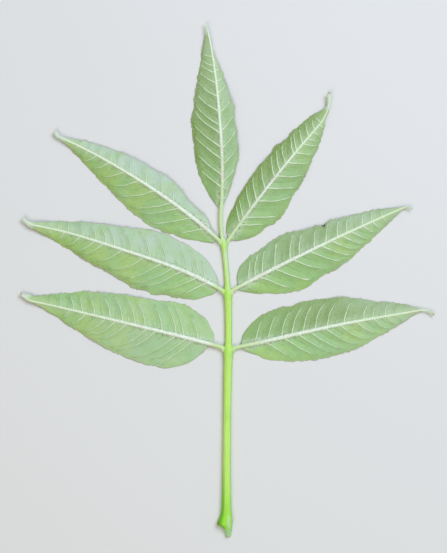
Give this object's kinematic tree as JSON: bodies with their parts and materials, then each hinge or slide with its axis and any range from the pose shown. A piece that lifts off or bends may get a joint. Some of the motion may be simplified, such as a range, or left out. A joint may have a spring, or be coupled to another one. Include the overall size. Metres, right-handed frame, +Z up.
{
  "type": "compound ash leaf",
  "caption": "Pinnate ash leaf on a green stalk, picked whole and lying with its pale, veined underside up; narrow leaflets in pairs and one at the end.",
  "frame": {"origin": "bottom centre of the whole leaf's box, on the ground that it lies on", "axes": "+Y from the stalk's foot to the end leaflet, +X to the right seen from above, +Z up out of the pale underside"},
  "size_m": [0.1787, 0.2213, 0.0042],
  "materials": {
    "stalk_green": "smooth, slightly waxy, lime green",
    "stalklet_green": "smooth, slightly waxy, pale lime green",
    "blade_underside": "matt pale green leaf underside with raised pale veins"
  },
  "bodies": {
    "root": {"stalk": "stalk_green", "stalklet_left_1": "stalklet_green", "stalklet_right_1": "stalklet_green", "stalklet_left_2": "stalklet_green", "stalklet_right_2": "stalklet_green", "stalklet_left_3": "stalklet_green", "stalklet_right_3": "stalklet_green", "stalklet_end": "stalklet_green", "leaflet_left_1": "blade_underside", "leaflet_right_1": "blade_underside", "leaflet_left_2": "blade_underside", "leaflet_right_2": "blade_underside", "leaflet_left_3": "blade_underside", "leaflet_right_3": "blade_underside", "leaflet_end": "blade_underside"}
  },
  "joints": []
}
